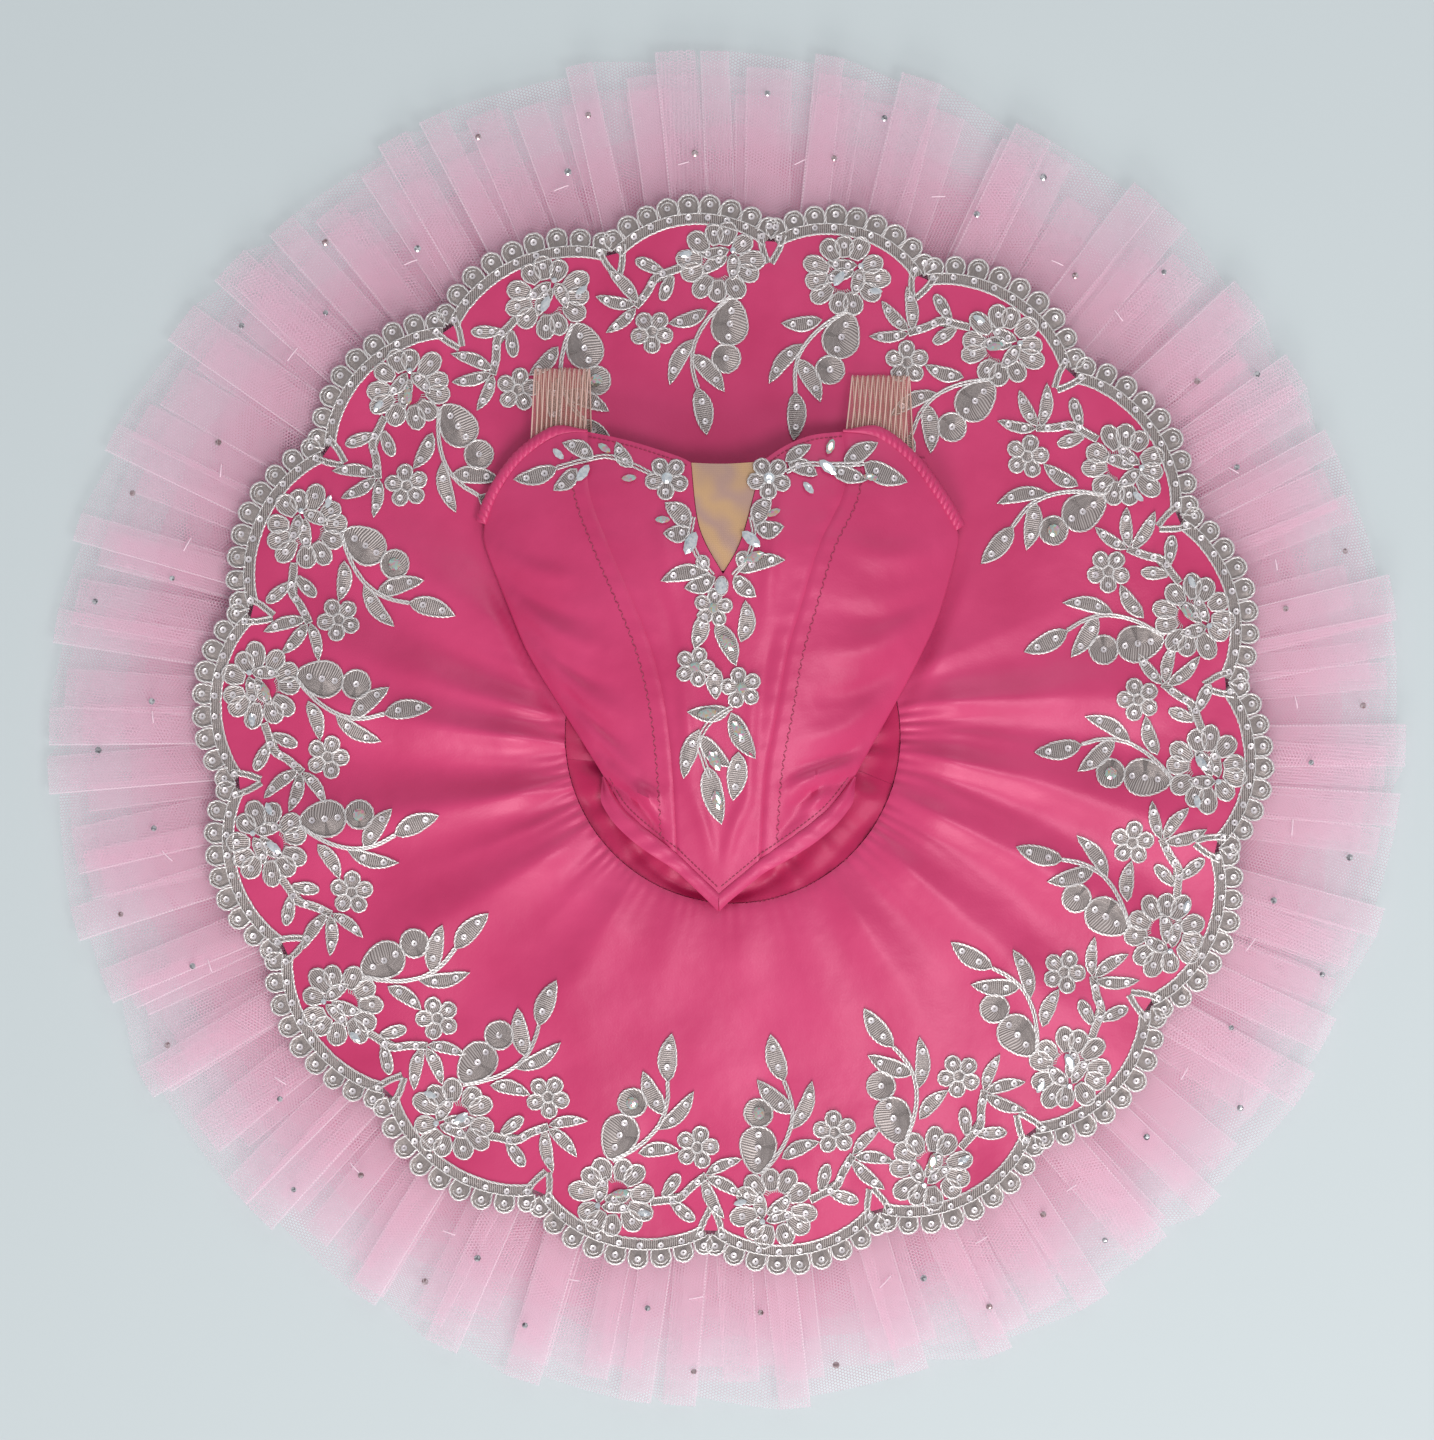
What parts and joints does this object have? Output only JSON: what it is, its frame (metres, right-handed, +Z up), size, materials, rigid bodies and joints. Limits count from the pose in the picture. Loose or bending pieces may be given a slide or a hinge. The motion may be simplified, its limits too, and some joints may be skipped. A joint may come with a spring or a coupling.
{
  "type": "ballet tutu",
  "caption": "Classical pancake tutu laid flat: a round pleated tulle skirt under a scalloped satin top skirt with lace, its boned satin bodice folded back over it.",
  "frame": {"origin": "on the floor under the middle of the skirt's outline", "axes": "+Z up from the floor, +Y towards the back of the tutu, where the bodice is folded to, +X to the wearer's left"},
  "size_m": [0.9998, 0.9995, 0.0907],
  "materials": {
    "satin": "pink stretch satin",
    "tulle": "pale pink stiff net",
    "lace": "silver corded lace with sequins",
    "mesh": "nude power mesh",
    "elastic": "ribbed nude elastic",
    "crystal": "cut glass"
  },
  "bodies": {
    "root": {"net_layer_top": "tulle", "net_layer_middle": "tulle", "net_layer_lower": "tulle", "net_core": "tulle", "panty_folded": "satin", "skirt_plate": "satin", "lace_border": "lace", "basque_front": "satin", "basque_back": "satin", "bodice_center_front": "satin", "bodice_side_left": "satin", "bodice_side_right": "satin", "bodice_back_left": "satin", "bodice_back_right": "satin", "mesh_insert": "mesh", "armhole_casing_left": "satin", "armhole_casing_right": "satin", "waist_band_left": "satin", "waist_band_right": "satin", "strap_left": "elastic", "strap_right": "elastic", "lace_neck_left": "lace", "lace_neck_right": "lace", "lace_plunge_left": "lace", "lace_plunge_right": "lace", "lace_center_spray": "lace", "center_crystal": "crystal", "lace_motif_01": "lace", "lace_motif_02": "lace", "lace_motif_03": "lace", "lace_motif_04": "lace", "lace_motif_05": "lace", "lace_motif_06": "lace", "lace_motif_07": "lace", "lace_motif_08": "lace", "lace_motif_09": "lace", "lace_motif_10": "lace", "lace_motif_11": "lace", "lace_motif_12": "lace", "lace_motif_13": "lace", "lace_motif_14": "lace", "lace_motif_15": "lace", "lace_motif_16": "lace", "lace_motif_17": "lace", "lace_motif_18": "lace"}
  },
  "joints": []
}
